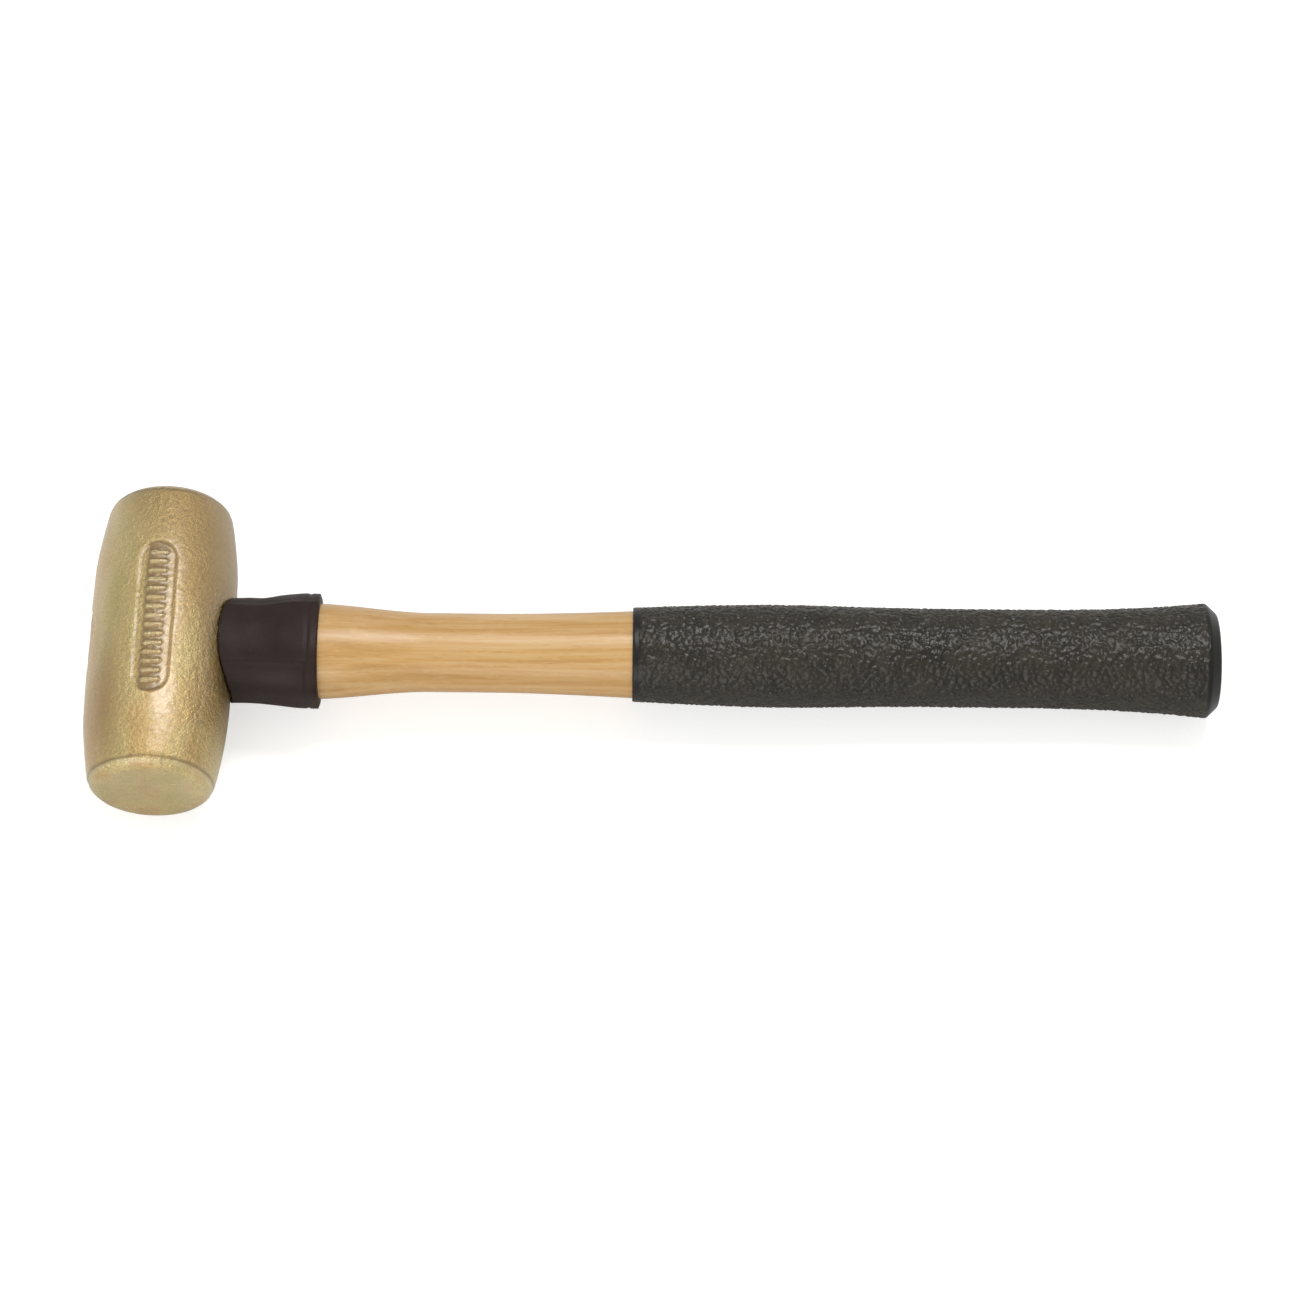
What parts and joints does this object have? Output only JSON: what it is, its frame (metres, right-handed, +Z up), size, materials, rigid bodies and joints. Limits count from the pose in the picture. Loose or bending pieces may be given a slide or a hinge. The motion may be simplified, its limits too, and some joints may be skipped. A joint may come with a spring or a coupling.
{
  "type": "brass hammer",
  "caption": "Brass sledge-type hammer with a barrel head, an oval hickory handle, a rubber guard behind the head and a pebbled rubber grip.",
  "frame": {"origin": "on the bench, under the middle of the hammer's box, with the hammer lying on its side at rest on the barrel and on the lower corner of the butt", "axes": "+X from the head to the butt, Y along the strike axis from face to face, +Z up, out of the panel side of the barrel"},
  "size_m": [0.3684, 0.1048, 0.0471],
  "materials": {
    "cast_brass": "cast and blasted, dull satin, with darker brown patches",
    "hickory": "pale straight-grained hickory under a thin satin lacquer",
    "wedge_wood": "plain end grain, sanded flush",
    "wedge_steel": "ground flush",
    "guard_rubber": "smooth moulded rubber, slightly dull",
    "grip_rubber": "pebbled dark rubber with a dull sheen"
  },
  "bodies": {
    "root": {"head": "cast_brass", "handle": "hickory", "wood_wedge": "wedge_wood", "steel_wedges": "wedge_steel", "guard": "guard_rubber", "grip": "grip_rubber"}
  },
  "joints": []
}
